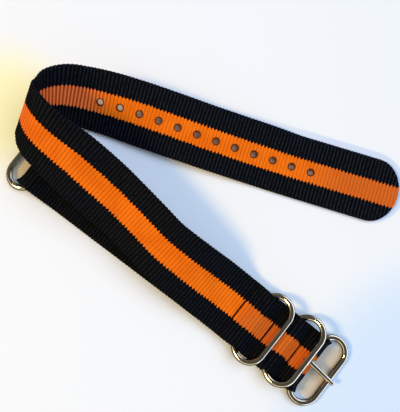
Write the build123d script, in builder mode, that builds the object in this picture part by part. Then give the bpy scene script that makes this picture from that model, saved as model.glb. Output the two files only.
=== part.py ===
from build123d import *
import os
from math import asin, cos, degrees, hypot, pi, radians, sin, sqrt

# Ribbed nylon watch strap with oval wire hardware, lying on a table as it was put down.
# Millimetres. Origin: underside of the short strap, midway along it. +X runs towards the buckle, +Z up.

# Webbing
strap_width = 22.0
strap_thickness = 1.3
layer_gap = 0.1
cut_end = 1.5

# Oval wire hardware
wire = 2.0
ring_side_play = 0.25
buckle_side_play = 0.2
ring_width = 12.4
buckle_width = 12.0
bar_clearance = 0.3

# Seams and bars, from the first seam towards the buckle
first_seam_x = 37.2
seam_to_first_bar = 5.1
first_pocket = 12.1
seam_to_second_bar = 5.3
second_pocket = 11.1
seam_to_buckle_bar = 4.6

# How far the top layer stays level at a seam, and over a bar
seam_flat = 0.8
crest_before = 0.5
crest_after = 2.0
fold_radius = 1.6

# Short strap under the main one
short_strap_skew = 2.2
end_bar_reach = 81.3
loop_slack = 1.9
bar_to_end_seam = 4.8
end_ramp = 4.0

# Tongue
tongue_off_middle = 0.15
tongue_width = 2.0
tongue_tip_width = 1.5
tongue_eye_wall = 0.85
tongue_bore_gap = 0.05
tongue_overhang = 1.8
tongue_rest_gap = 0.08
tongue_askew = 0.9
slot_width = 3.1
slot_behind = 3.0

# Room that the webbing's edges leave for the rounded ends of the hardware
relief_radius = 3.4
relief_ahead = 1.0
relief_outside = 0.5
tab_beyond_straight = 0.7
tab_start = -0.4

# Punched holes and rounded tip of the tail
hole_count = 12
hole_pitch = 6.9
hole_diameter = 2.3
tip_to_last_hole = 30.9
tip_depth = 8.8
tail_flat_length = 37.4

# Sewing thread
thread = 0.5
stitch_pitch = 2.0
seam_margin = 1.0

# Rest of the posture. A slide is how far the ring has slipped across the strap.
keeper_one_tilt = 19.0
keeper_two_tilt = 22.0
keeper_two_slide = 0.9
buckle_slide = 0.8
tail_direction = 21.75
tail_flat_start_share = (0.979, 2.277, 0.030)
overrun = 5.0

# Centre line of the main strap from the first seam to where the tail lies flat, as shares of the strap's
# width: along, across and up. The last value is the roll about the line of travel in degrees.
route_shares = (
    (1.545, 0.000, 0.157, 0.0),
    (1.254, -0.004, 0.246, 4.5),
    (0.917, -0.015, 0.393, 12.0),
    (0.575, -0.020, 0.514, 18.5),
    (0.215, -0.013, 0.581, 22.5),
    (-0.146, 0.035, 0.611, 23.5),
    (-0.502, 0.078, 0.632, 24.0),
    (-0.842, 0.106, 0.677, 21.5),
    (-1.185, 0.122, 0.758, 20.0),
    (-1.519, 0.138, 0.854, 25.0),
    (-1.863, 0.138, 0.932, 33.0),
    (-2.229, 0.170, 0.957, 39.0),
    (-2.412, 0.217, 0.893, 44.5),
    (-2.553, 0.290, 0.822, 58.5),
    (-2.610, 0.388, 0.738, 79.0),
    (-2.595, 0.532, 0.646, 100.0),
    (-2.538, 0.685, 0.553, 116.0),
    (-2.440, 0.823, 0.467, 128.5),
    (-2.318, 0.934, 0.390, 138.1),
    (-2.169, 1.020, 0.342, 144.0),
    (-1.846, 1.174, 0.307, 151.7),
    (-1.348, 1.377, 0.264, 161.9),
    (-0.853, 1.565, 0.224, 169.2),
    (-0.361, 1.750, 0.181, 173.3),
    (0.127, 1.941, 0.130, 174.0),
    (0.545, 2.108, 0.079, 174.5),
)
steps_per_station = 3
seam_to_arch = 3.21


# Places that follow from the sizes above
half_thickness = strap_thickness / 2
wire_radius = wire / 2
ring_length = strap_width + 2 * ring_side_play + 2 * wire
buckle_length = strap_width + 2 * buckle_side_play + 2 * wire
buckle_tab = buckle_length - buckle_width + 2 * tab_beyond_straight
end_tab = ring_length - ring_width + 2 * tab_beyond_straight
arch_shift = Vector(first_seam_x - seam_to_arch - route_shares[0][0] * strap_width, 0, 0)
layer_step = strap_thickness + layer_gap
bar_z = strap_thickness + bar_clearance + wire_radius
over_bar_z = bar_z + wire_radius + bar_clearance + half_thickness
seam_z = half_thickness + layer_step
first_seam_z = seam_z + layer_step
first_bar_x = first_seam_x + seam_to_first_bar
second_seam_x = first_seam_x + first_pocket
second_bar_x = second_seam_x + seam_to_second_bar
third_seam_x = second_seam_x + second_pocket
buckle_bar_x = third_seam_x + seam_to_buckle_bar
fold_reach = over_bar_z - bar_z
tongue_y = buckle_slide + tongue_off_middle
buckle_droop = -degrees(asin((bar_z - wire_radius) / (buckle_width - wire)))
end_ring_droop = -degrees(asin((bar_z - wire_radius) / (ring_width - wire)))


def lies_along(rows, station, share):
    """Point on the smooth curve through the rows, at a share of the way from one row to the next."""
    def gap(low, high):
        return sqrt(sum((high[k] - low[k]) ** 2 for k in range(3)))

    def slope(index):
        here = rows[index]
        before = rows[max(index - 1, 0)]
        after = rows[min(index + 1, len(rows) - 1)]
        if index == 0:
            return [(a - h) / gap(here, after) for h, a in zip(here, after)]
        if index == len(rows) - 1:
            return [(h - b) / gap(before, here) for b, h in zip(before, here)]
        back, ahead = gap(before, here), gap(here, after)
        return [((h - b) / back * ahead + (a - h) / ahead * back) / (back + ahead)
                for b, h, a in zip(before, here, after)]

    start, end = rows[station], rows[station + 1]
    span = gap(start, end)
    pairs = zip(start, slope(station), end, slope(station + 1))
    return [(2 * share ** 3 - 3 * share ** 2 + 1) * p + (share ** 3 - 2 * share ** 2 + share) * span * m
            + (3 * share ** 2 - 2 * share ** 3) * q + (share ** 3 - share ** 2) * span * n
            for p, m, q, n in pairs]


def centre_points():
    """Centre line points with their roll, from the first seam to the flat tail."""
    points = []
    for station in range(len(route_shares) - 1):
        for step in range(steps_per_station):
            points.append(lies_along(route_shares, station, step / steps_per_station))
    points.append(list(route_shares[-1]))
    return [(Vector(x, y, z) * strap_width + arch_shift, roll) for x, y, z, roll in points]


def rolled_plane(centre, travel, roll):
    """Plane across the webbing: X along its width, Z along its length, rolled up on its nearer edge."""
    level = hypot(travel.X, travel.Y)
    side = Vector(travel.Y / level, -travel.X / level, 0)
    rise = side.cross(travel)
    return Plane(origin=centre, x_dir=side * cos(radians(roll)) + rise * sin(radians(roll)), z_dir=travel)


def oval_ring(plane, length, width):
    """Closed oval of round wire. The plane's origin is the middle of one straight bar, its X points across."""
    half_bar = (length - width) / 2
    bend = (width - wire) / 2
    with BuildPart() as ring:
        with BuildLine(plane) as oval:
            Line((0, -half_bar), (0, half_bar))
            ThreePointArc((0, half_bar), (bend, half_bar + bend), (2 * bend, half_bar))
            Line((2 * bend, half_bar), (2 * bend, -half_bar))
            ThreePointArc((2 * bend, -half_bar), (bend, -half_bar - bend), (0, -half_bar))
        with BuildSketch(Plane(origin=plane.origin, x_dir=plane.x_dir, z_dir=plane.y_dir)):
            Circle(wire_radius)
        sweep(path=oval.line)
    return ring


def tilted(x, y, tilt, across=Vector(1, 0, 0)):
    """Plane of a ring whose bar's middle lies at x and y, raised by the tilt away from the bar."""
    up = Vector(0, 0, 1)
    return Plane(origin=(x, y, bar_z), x_dir=across * cos(radians(tilt)) + up * sin(radians(tilt)),
                 z_dir=up * cos(radians(tilt)) - across * sin(radians(tilt)))


def seam(plane, low_z, high_z):
    """Row of lockstitch: a thread above and below the layers, tied through them at every stitch."""
    seam_length = strap_width - 2 * seam_margin
    stitch_count = int(seam_length / stitch_pitch)
    with BuildPart() as row:
        with BuildSketch(plane):
            with Locations((0, (low_z + high_z) / 2)):
                with GridLocations(stitch_pitch, high_z - low_z - thread, stitch_count, 2):
                    SlotOverall(stitch_pitch + thread / 2, thread)
                with GridLocations(stitch_pitch, thread, stitch_count + 1, 1):
                    Rectangle(thread / 2, high_z - low_z - thread)
        extrude(amount=thread / 2, both=True)
    return row


# Places along the main strap's centre line, and how far each is from the first
stations = centre_points()
flat_centre = Vector(*tail_flat_start_share) * strap_width + arch_shift
tail_along = Vector(cos(radians(tail_direction)), sin(radians(tail_direction)), 0)
travels = []
for index in range(len(stations)):
    before = stations[max(index - 1, 0)][0]
    after = stations[index + 1][0] if index + 1 < len(stations) else flat_centre
    travels.append((after - before).normalized())
travels[0] = Vector(-1, 0, 0)
distances = [0.0]
for (start, start_roll), (end, end_roll) in zip(stations, stations[1:]):
    distances.append(distances[-1] + (end - start).length)
flat_distance = distances[-1] + (flat_centre - stations[-1][0]).length


def hole_plane(distance_from_tip):
    """Plane of the webbing's face at a distance back from the tip, X along the strap."""
    back = distance_from_tip - tail_flat_length
    if back <= 0:
        return Plane(origin=flat_centre - tail_along * back, x_dir=tail_along, z_dir=(0, 0, 1))
    place = flat_distance - back
    index = max(k for k in range(len(distances)) if distances[k] <= place)
    start, roll = stations[index]
    end = stations[index + 1][0] if index + 1 < len(stations) else flat_centre
    share = (place - distances[index]) / (end - start).length
    across = rolled_plane(start + (end - start) * share, travels[index], roll)
    return Plane(origin=across.origin, x_dir=across.z_dir, z_dir=across.y_dir)


with BuildPart() as main_strap:
    # Folded end, loop round the buckle bar and the two pockets, in one sweep along their middle line
    with BuildLine(Plane.XZ) as pocket_path:
        FilletPolyline(
            (first_seam_x - cut_end, seam_z),
            (first_seam_x + cut_end + layer_step, seam_z),
            (first_bar_x - wire_radius, half_thickness),
            (buckle_bar_x, half_thickness),
            radius=fold_radius,
        )
        ThreePointArc((buckle_bar_x, half_thickness), (buckle_bar_x + fold_reach, bar_z), (buckle_bar_x, over_bar_z))
        FilletPolyline(
            (buckle_bar_x, over_bar_z),
            (buckle_bar_x - crest_before, over_bar_z),
            (third_seam_x + seam_flat, seam_z),
            (third_seam_x - seam_flat, seam_z),
            (second_bar_x + crest_after, over_bar_z),
            (second_bar_x - crest_before, over_bar_z),
            (second_seam_x + seam_flat, seam_z),
            (second_seam_x - seam_flat, seam_z),
            (first_bar_x + crest_after, over_bar_z),
            (first_bar_x - crest_before, over_bar_z),
            (first_seam_x + seam_flat, first_seam_z),
            (stations[0][0].X, first_seam_z),
            radius=fold_radius / 2,
        )
    with BuildSketch(Plane(origin=(first_seam_x - cut_end, 0, seam_z), x_dir=(0, 1, 0), z_dir=(1, 0, 0))):
        Rectangle(strap_width, strap_thickness)
    sweep(path=pocket_path.line)

    # The run that arches over the short strap, turns back on its edge and comes down as the tail
    for (centre, roll), travel in zip(stations, travels):
        with BuildSketch(rolled_plane(centre, travel, roll)):
            Rectangle(strap_width, strap_thickness)
    with BuildSketch(Plane(origin=flat_centre, x_dir=(-tail_along.Y, tail_along.X, 0), z_dir=tail_along)):
        Rectangle(strap_width, strap_thickness)
    loft(ruled=True)

    # The flat end of the tail, with its rounded tip
    with BuildSketch(Plane(origin=flat_centre, x_dir=tail_along, z_dir=(0, 0, 1))):
        with BuildLine():
            Line((0, -strap_width / 2), (tail_flat_length - tip_depth, -strap_width / 2))
            EllipticalCenterArc((tail_flat_length - tip_depth, 0), tip_depth, strap_width / 2,
                                start_angle=-90, arc_size=180)
            Line((tail_flat_length - tip_depth, strap_width / 2), (0, strap_width / 2))
            Line((0, strap_width / 2), (0, -strap_width / 2))
        make_face()
    extrude(amount=half_thickness, both=True)

    # Punched holes
    for hole in range(hole_count):
        with BuildSketch(hole_plane(tip_to_last_hole + hole * hole_pitch)):
            Circle(hole_diameter / 2)
        extrude(amount=strap_thickness, both=True, mode=Mode.SUBTRACT)

    # Slot for the tongue, through both layers and the fold
    with BuildSketch(Plane.XY):
        with Locations((buckle_bar_x - slot_behind + overrun, tongue_y)):
            SlotOverall(2 * overrun, slot_width)
    extrude(amount=over_bar_z + strap_thickness, mode=Mode.SUBTRACT)

    # Edges drawn in where the keepers' rounded ends pass them
    with BuildSketch(Plane.XY.offset(bar_z)):
        for bar_x, slide in ((first_bar_x, 0), (second_bar_x, keeper_two_slide)):
            with Locations((bar_x + relief_ahead, slide + strap_width / 2 + relief_outside),
                           (bar_x + relief_ahead, slide - strap_width / 2 - relief_outside)):
                Circle(relief_radius)
    extrude(amount=over_bar_z, mode=Mode.SUBTRACT)

    # Fold narrowed where the buckle's rounded ends pass it
    with BuildSketch(Plane.XY):
        for side in (-1, 1):
            with Locations((buckle_bar_x + tab_start + overrun,
                            buckle_slide + side * (buckle_tab / 2 + overrun))):
                Rectangle(2 * overrun, 2 * overrun)
    extrude(amount=over_bar_z + strap_thickness, mode=Mode.SUBTRACT)

# The short strap: sewn in at the first seam, and looped round the end ring's bar
short_along = Vector(cos(radians(short_strap_skew)), sin(radians(short_strap_skew)), 0)
short_side = Vector(-short_along.Y, short_along.X, 0)
short_start = Vector(first_seam_x, 0, 0)
short_plane = Plane(origin=short_start, x_dir=short_along, z_dir=-short_side)
end_seam_s = bar_to_end_seam - end_bar_reach
end_fold_s = -end_bar_reach - loop_slack
end_bar = short_start - short_along * end_bar_reach

with BuildPart() as short_strap:
    with BuildLine(short_plane) as short_path:
        FilletPolyline(
            (cut_end, half_thickness),
            (end_seam_s + seam_flat + end_ramp, half_thickness),
            (end_seam_s + seam_flat, seam_z),
            (end_seam_s - seam_flat, seam_z),
            (crest_before - end_bar_reach, over_bar_z),
            (end_fold_s, over_bar_z),
            radius=fold_radius / 2,
        )
        ThreePointArc((end_fold_s, over_bar_z), (end_fold_s - fold_reach, bar_z), (end_fold_s, half_thickness))
        Line((end_fold_s, half_thickness), (end_seam_s + cut_end, half_thickness))
    with BuildSketch(Plane(origin=short_path.line @ 0, x_dir=short_side, z_dir=-short_along)):
        Rectangle(strap_width, strap_thickness)
    sweep(path=short_path.line)
    with BuildSketch(Plane(origin=end_bar, x_dir=short_along, z_dir=(0, 0, 1))):
        for side in (-1, 1):
            with Locations((-tab_start - overrun, side * (end_tab / 2 + overrun))):
                Rectangle(2 * overrun, 2 * overrun)
    extrude(amount=over_bar_z + strap_thickness, mode=Mode.SUBTRACT)

# Wire hardware
keeper_one = oval_ring(tilted(first_bar_x, 0, keeper_one_tilt), ring_length, ring_width)
keeper_two = oval_ring(tilted(second_bar_x, keeper_two_slide, keeper_two_tilt), ring_length, ring_width)
buckle_frame = oval_ring(tilted(buckle_bar_x, buckle_slide, buckle_droop), buckle_length, buckle_width)
end_ring = oval_ring(tilted(end_bar.X, end_bar.Y, end_ring_droop, -short_along), ring_length, ring_width)

# Tongue: an eye round the buckle's bar and a tapered pin that rests on the far bar
far_bar_x = buckle_bar_x + (buckle_width - wire) * cos(radians(buckle_droop))
bore_radius = wire_radius + tongue_bore_gap
eye_radius = bore_radius + tongue_eye_wall
pin_root = Vector(buckle_bar_x, tongue_y + tongue_askew / 2, bar_z + bore_radius)
pin_over_bar = Vector(far_bar_x, tongue_y - tongue_askew / 2, wire + tongue_rest_gap + tongue_tip_width / 2)
pin_along = (pin_over_bar - pin_root).normalized()
pin_tip = pin_over_bar + pin_along * tongue_overhang

with BuildPart() as buckle_tongue:
    with BuildSketch(Plane(origin=(buckle_bar_x, tongue_y, bar_z), x_dir=(1, 0, 0), z_dir=(0, 1, 0))):
        Circle(eye_radius)
    extrude(amount=tongue_width / 2, both=True)
    with BuildSketch(Plane(origin=pin_root, x_dir=(0, 1, 0), z_dir=pin_along)):
        Circle(tongue_width / 2)
    with BuildSketch(Plane(origin=pin_tip, x_dir=(0, 1, 0), z_dir=pin_along)):
        Circle(tongue_tip_width / 2)
    loft()
    with Locations(pin_tip):
        Sphere(tongue_tip_width / 2)
    with BuildSketch(Plane(origin=(buckle_bar_x, tongue_y, bar_z), x_dir=(1, 0, 0), z_dir=(0, 1, 0))):
        Circle(bore_radius)
    extrude(amount=overrun, both=True, mode=Mode.SUBTRACT)

# Seams
first_seam_row = seam(Plane(origin=(first_seam_x, 0, 0), x_dir=(0, 1, 0), z_dir=(1, 0, 0)),
                      0, first_seam_z + half_thickness + thread / 2)
second_seam_row = seam(Plane(origin=(second_seam_x, 0, 0), x_dir=(0, 1, 0), z_dir=(1, 0, 0)),
                       0, seam_z + half_thickness + thread / 2)
third_seam_row = seam(Plane(origin=(third_seam_x, 0, 0), x_dir=(0, 1, 0), z_dir=(1, 0, 0)),
                      0, seam_z + half_thickness + thread / 2)
end_loop_seam = seam(Plane(origin=short_start + short_along * end_seam_s, x_dir=short_side, z_dir=short_along),
                     0, seam_z + half_thickness + thread / 2)

os.makedirs("parts", exist_ok=True)

main_strap.part.label = "main_strap"
export_step(main_strap.part, "parts/main_strap.step")
short_strap.part.label = "short_strap"
export_step(short_strap.part, "parts/short_strap.step")
buckle_frame.part.label = "buckle_frame"
export_step(buckle_frame.part, "parts/buckle_frame.step")
buckle_tongue.part.label = "buckle_tongue"
export_step(buckle_tongue.part, "parts/buckle_tongue.step")
keeper_one.part.label = "keeper_one"
export_step(keeper_one.part, "parts/keeper_one.step")
keeper_two.part.label = "keeper_two"
export_step(keeper_two.part, "parts/keeper_two.step")
end_ring.part.label = "end_ring"
export_step(end_ring.part, "parts/end_ring.step")
first_seam_row.part.label = "first_seam_row"
export_step(first_seam_row.part, "parts/first_seam_row.step")
second_seam_row.part.label = "second_seam_row"
export_step(second_seam_row.part, "parts/second_seam_row.step")
third_seam_row.part.label = "third_seam_row"
export_step(third_seam_row.part, "parts/third_seam_row.step")
end_loop_seam.part.label = "end_loop_seam"
export_step(end_loop_seam.part, "parts/end_loop_seam.step")

print("buckle droop", round(buckle_droop, 2), "end ring droop", round(end_ring_droop, 2))
print("strap length from the fold", round(flat_distance + tail_flat_length + buckle_bar_x - stations[0][0].X, 1))
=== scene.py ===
import bpy
import numpy as np
from mathutils import Matrix, Vector


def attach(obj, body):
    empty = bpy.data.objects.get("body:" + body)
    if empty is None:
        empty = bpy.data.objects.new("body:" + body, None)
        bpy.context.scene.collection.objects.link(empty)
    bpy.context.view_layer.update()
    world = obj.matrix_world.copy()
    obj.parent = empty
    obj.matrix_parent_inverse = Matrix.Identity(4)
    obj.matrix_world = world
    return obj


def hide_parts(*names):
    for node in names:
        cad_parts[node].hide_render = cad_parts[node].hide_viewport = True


# A ribbed watch strap with oval wire hardware on a pale table. Lengths in this file are millimetres in the
# part's own frame, and they become metres where a mesh, a light or the camera is made.

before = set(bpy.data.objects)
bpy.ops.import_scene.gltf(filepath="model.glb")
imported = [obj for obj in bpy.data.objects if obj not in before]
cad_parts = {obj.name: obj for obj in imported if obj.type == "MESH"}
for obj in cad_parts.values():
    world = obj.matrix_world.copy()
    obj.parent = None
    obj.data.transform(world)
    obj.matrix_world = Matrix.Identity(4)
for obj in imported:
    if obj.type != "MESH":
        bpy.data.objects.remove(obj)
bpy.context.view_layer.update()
MM = 0.001

# Webbing
WIDTH = 22.0
THICKNESS = 1.3
LAYER_GAP = 0.1
EDGE_ROUND = 0.55
STRIPE_HALF = 3.62
SHORT_STRIPE_HALF = 3.22
HALF = WIDTH / 2
HALF_THICKNESS = THICKNESS / 2
SEAM_Z = HALF_THICKNESS + THICKNESS + LAYER_GAP
FIRST_SEAM_Z = SEAM_Z + THICKNESS + LAYER_GAP

# Ribs across the webbing, the loops that they make at its edges and the grooves that the seams press in. The
# ribs' height is uneven by a share of it, in a slow wave along and across the webbing, in radians per mm
RIB_PITCH = 1.22
RIB_HEIGHT = 0.21
RIB_STEPS = 5
RIB_POWER = 0.8
UNEVEN_SHARE = 0.1
UNEVEN_ALONG = 0.37
UNEVEN_ACROSS = 0.8
MELTED_RISE_SHARE = 0.6
LOOP_BULGE = 0.20
LOOPS_FROM = 8.8
GROOVE_DEPTH = 0.24
GROOVE_SPREAD = 0.42

# Hardware: its wire, the places of the seams and the bars along the strap, and how far keeper one, keeper
# two and the buckle have slid across it. Tilts and droops are in degrees from level
WIRE = 2.0
WIRE_R = WIRE / 2
RING_LENGTH = 26.5
RING_WIDTH = 12.4
BUCKLE_LENGTH = 26.4
BUCKLE_WIDTH = 12.0
BAR_Z = 2.6
SEAM_X = (37.2, 49.3, 60.4)
BAR_X = (42.3, 54.6, 65.0)
SLIDE = (0.0, 0.9, 0.8)
KEEPER_TILT = (19.0, 22.0)
BUCKLE_DROOP = -9.21
END_DROOP = -8.85
END_SKEW = np.radians(2.2)
END_REACH = 81.3

# Folds of the webbing over the bars, and its ends beyond the seams
OVER_BAR_Z = 4.55
FOLD_REACH = 1.95
HUMP_AHEAD = 2.0
HUMP_BEHIND = 0.5
SEAM_FLAT = 0.8
END_PAST_SEAM = 1.5
END_LEVEL = 2.9
LOOP_SLACK = 1.9
LOOP_LENGTH = 4.8
LOOP_FALL = 4.8
END_SEAM = END_REACH - LOOP_LENGTH

# Pull of the hardware on the webbing: how far it reaches along the band, then the share that the width loses
# and the slip across. Between the keepers and the buckle it is (place, reach, draw)
KEEPER_PULL = 4.6
KEEPER_DRAWS = ((0.02, 0.0), (0.05, 0.3))
KEEPER_AHEAD = 0.3
KEEPER_LIFT_SHARE = 0.1
BUCKLE_PULL = 7.0
BUCKLE_DRAW = (0.08, 0.65)
END_PULL = 8.0
END_DRAW = (0.05, 0.0)
POCKET_PULLS = ((44.6, 3.6, (0.035, 0.0)), (57.9, 4.2, (0.06, 0.55)))
FULL_BEND_SHARE = 0.98

# Tail, with distances back from its tip
HOLE_COUNT = 12
HOLE_PITCH = 6.9
HOLE_R = 1.10
TIP_TO_HOLE = 30.9
TIP_DEPTH = 8.8
TIP_ROWS = 61
TIP_LEAST_SHARE = 0.02
TAIL_ANGLE = np.radians(21.75)
TAIL_FLAT = 37.4
WANDER = -0.6
WANDER_START = 105.0
WANDER_END = 50.0

# Centre line of the main strap from the first seam to the flat tail, as shares of its width, with its roll
ROUTE_SHARES = np.array((
    (1.545, 0.000, 0.157, 0.0), (1.254, -0.004, 0.246, 4.5), (0.917, -0.015, 0.393, 12.0),
    (0.575, -0.020, 0.514, 18.5), (0.215, -0.013, 0.581, 22.5), (-0.146, 0.035, 0.611, 23.5),
    (-0.502, 0.078, 0.632, 24.0), (-0.842, 0.106, 0.677, 21.5), (-1.185, 0.122, 0.758, 20.0),
    (-1.519, 0.138, 0.854, 25.0), (-1.863, 0.138, 0.932, 33.0), (-2.229, 0.170, 0.957, 39.0),
    (-2.412, 0.217, 0.893, 44.5), (-2.553, 0.290, 0.822, 58.5), (-2.610, 0.388, 0.738, 79.0),
    (-2.595, 0.532, 0.646, 100.0), (-2.538, 0.685, 0.553, 116.0), (-2.440, 0.823, 0.467, 128.5),
    (-2.318, 0.934, 0.390, 138.1), (-2.169, 1.020, 0.342, 144.0), (-1.846, 1.174, 0.307, 151.7),
    (-1.348, 1.377, 0.264, 161.9), (-0.853, 1.565, 0.224, 169.2), (-0.361, 1.750, 0.181, 173.3),
    (0.127, 1.941, 0.130, 174.0), (0.545, 2.108, 0.079, 174.5),
))
FLAT_START = np.array((0.979, 2.277, 0.030)) * WIDTH
PATH_STEP = 0.05
SMOOTH = 0.55
SHORT_SMOOTH = 0.5
TAIL_POINTS = 200
TOP_RUN = 125.0

# Camera over the strap, a little towards the near side, with its lens and its frame in pixels
CAMERA_AT = (17.55, 3.80, 182.56)
CAMERA_RIGHT = (0.778, 0.628, 0.0)
CAMERA_FORWARD = (-0.0667, 0.0827, -0.9943)
CAMERA_NEAR = 10.0
SENSOR = 36.0
LENS_PX = 532.0
FRAME_PX = 400.0


class Shade:
    """A socket in a node tree. Arithmetic on it adds Math nodes, and make adds any other node."""

    def __init__(self, tree, socket=None):
        self.tree = tree
        self.socket = socket

    def make(self, kind, inputs=(), output=0, **settings):
        node = self.tree.nodes.new(kind)
        for key, value in settings.items():
            setattr(node, key, value)
        for key, value in dict(inputs).items():
            if isinstance(value, Shade):
                self.tree.links.new(value.socket, node.inputs[key])
            else:
                node.inputs[key].default_value = value
        return Shade(self.tree, node.outputs[output])

    def math(self, operation, *others):
        return self.make("ShaderNodeMath", enumerate((self, *others)), operation=operation)

    def reflected(self, operation, other):
        return self.make("ShaderNodeMath", enumerate((other, self)), operation=operation)

    def __add__(self, other):
        return self.math("ADD", other)

    def __radd__(self, other):
        return self.reflected("ADD", other)

    def __sub__(self, other):
        return self.math("SUBTRACT", other)

    def __rsub__(self, other):
        return self.reflected("SUBTRACT", other)

    def __mul__(self, other):
        return self.math("MULTIPLY", other)

    def __rmul__(self, other):
        return self.reflected("MULTIPLY", other)

    def __truediv__(self, other):
        return self.math("DIVIDE", other)

    def __rtruediv__(self, other):
        return self.reflected("DIVIDE", other)

    def __pow__(self, other):
        return self.math("POWER", other)

    def __abs__(self):
        return self.math("ABSOLUTE")

    def ramp(self, low, high, start=0.0, end=1.0):
        """Smooth step from start at low to end at high."""
        inputs = {0: self, 1: low, 2: high, 3: start, 4: end}
        return self.make("ShaderNodeMapRange", inputs, interpolation_type="SMOOTHSTEP")

    def fade(self, low, high):
        """Smooth step from 1 at low to 0 at high."""
        return self.ramp(low, high, 1.0, 0.0)

    def mix(self, first, second):
        """Colour first where this is 0, second where it is 1."""
        inputs = {0: self, 6: first, 7: second}
        return self.make("ShaderNodeMix", inputs, output=2, data_type="RGBA")

    def apart(self):
        """The three numbers of a vector."""
        node = self.make("ShaderNodeSeparateXYZ", {0: self}).socket.node
        return [Shade(self.tree, socket) for socket in node.outputs]

    def noise(self, scale, detail, roughness=0.5):
        """Soft noise from 0 to 1, read at this vector."""
        inputs = {"Vector": self, "Scale": scale, "Detail": detail, "Roughness": roughness}
        return self.make("ShaderNodeTexNoise", inputs)

    def bump(self, distance, strength):
        """Normal of a surface that stands up with this height, over a distance in metres."""
        inputs = {"Strength": strength, "Distance": distance, "Height": self}
        return self.make("ShaderNodeBump", inputs)


def new_material(name):
    """(material, tree start, principled node) with the tree's principled shader in place."""
    material = bpy.data.materials.new(name)
    material.use_nodes = True
    return material, Shade(material.node_tree), material.node_tree.nodes["Principled BSDF"]


def plug(node, **inputs):
    """Sets or links a node's inputs by name, with underscores for spaces."""
    for key, value in inputs.items():
        socket = node.inputs[key.replace("_", " ")]
        if isinstance(value, Shade):
            value.tree.links.new(value.socket, socket)
        else:
            socket.default_value = value


def new_object(name, data):
    """Object with this data, linked into the scene."""
    made = bpy.data.objects.new(name, data)
    bpy.context.scene.collection.objects.link(made)
    return made


def make_object(name, points, faces, body, material, weave=None):
    """Mesh object in metres from points in mm, riding on a body, with its weave coordinates if any."""
    mesh = bpy.data.meshes.new(name)
    mesh.from_pydata((np.asarray(points) * MM).tolist(), [], [list(map(int, face)) for face in faces])
    mesh.polygons.foreach_set("use_smooth", np.ones(len(mesh.polygons), dtype=bool))
    if weave is not None:
        layer = mesh.attributes.new("weave", "FLOAT_VECTOR", "POINT")
        layer.data.foreach_set("vector", np.asarray(weave, dtype=np.float32).ravel())
    mesh.materials.append(material)
    mesh.validate()
    mesh.update()
    made = new_object(name, mesh)
    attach(made, body)
    return made


def unit(vectors):
    """Vectors divided by their lengths."""
    return vectors / np.linalg.norm(vectors, axis=-1, keepdims=True)


def reach_along(points):
    """Distance of each point along the line through them all."""
    return np.concatenate([[0], np.cumsum(np.linalg.norm(np.diff(points, axis=0), axis=1))])


def read_at(places, reach, table):
    """Rows of a table given at distances, read between them at places."""
    return np.stack([np.interp(places, reach, table[:, k]) for k in range(table.shape[1])], axis=-1)


def blurred(values, steps):
    """Values along a line, averaged with a bell of the given width in steps. The line's ends are carried
    straight on for it."""
    reach = int(3 * steps)
    bell = np.exp(-0.5 * (np.arange(-reach, reach + 1) / steps) ** 2)
    bell /= bell.sum()
    before = 2 * values[0] - values[reach:0:-1]
    after = 2 * values[-1] - values[-2:-reach - 2:-1]
    padded = np.concatenate([before, values, after])
    return np.stack([np.convolve(padded[:, k], bell, "valid") for k in range(values.shape[1])], axis=1)


def along_corners(points):
    """Points every path step along straight runs between corners."""
    points = np.asarray(points, dtype=float)
    reach = reach_along(points)
    return read_at(np.linspace(0, reach[-1], int(reach[-1] / PATH_STEP) + 1), reach, points)


def half_turn(centre, radius, start, end, count=60):
    """Points in the XZ plane on a circle about a centre, from one angle to another."""
    angles = np.linspace(start, end, count)
    return np.stack([centre[0] + radius * np.cos(angles), centre[1] + radius * np.sin(angles)], axis=1)


def through(rows, steps=24):
    """Cubic curve through rows of values, with its slope at each row the mean of its two sides' slopes,
    each weighted by the other side's length."""
    spans = np.linalg.norm(np.diff(rows[:, :3], axis=0), axis=1)[:, None]
    chords = np.diff(rows, axis=0) / spans
    inner = (chords[:-1] * spans[1:] + chords[1:] * spans[:-1]) / (spans[1:] + spans[:-1])
    slopes = np.concatenate([chords[:1], inner, chords[-1:]])
    share = np.arange(steps)[:, None, None] / steps
    p, q = rows[:-1], rows[1:]
    m, n = slopes[:-1] * spans, slopes[1:] * spans
    curve = ((2 * share ** 3 - 3 * share ** 2 + 1) * p + (share ** 3 - 2 * share ** 2 + share) * m
             + (3 * share ** 2 - 2 * share ** 3) * q + (share ** 3 - share ** 2) * n)
    return np.concatenate([curve.transpose(1, 0, 2).reshape(-1, rows.shape[1]), rows[-1:]])


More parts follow.
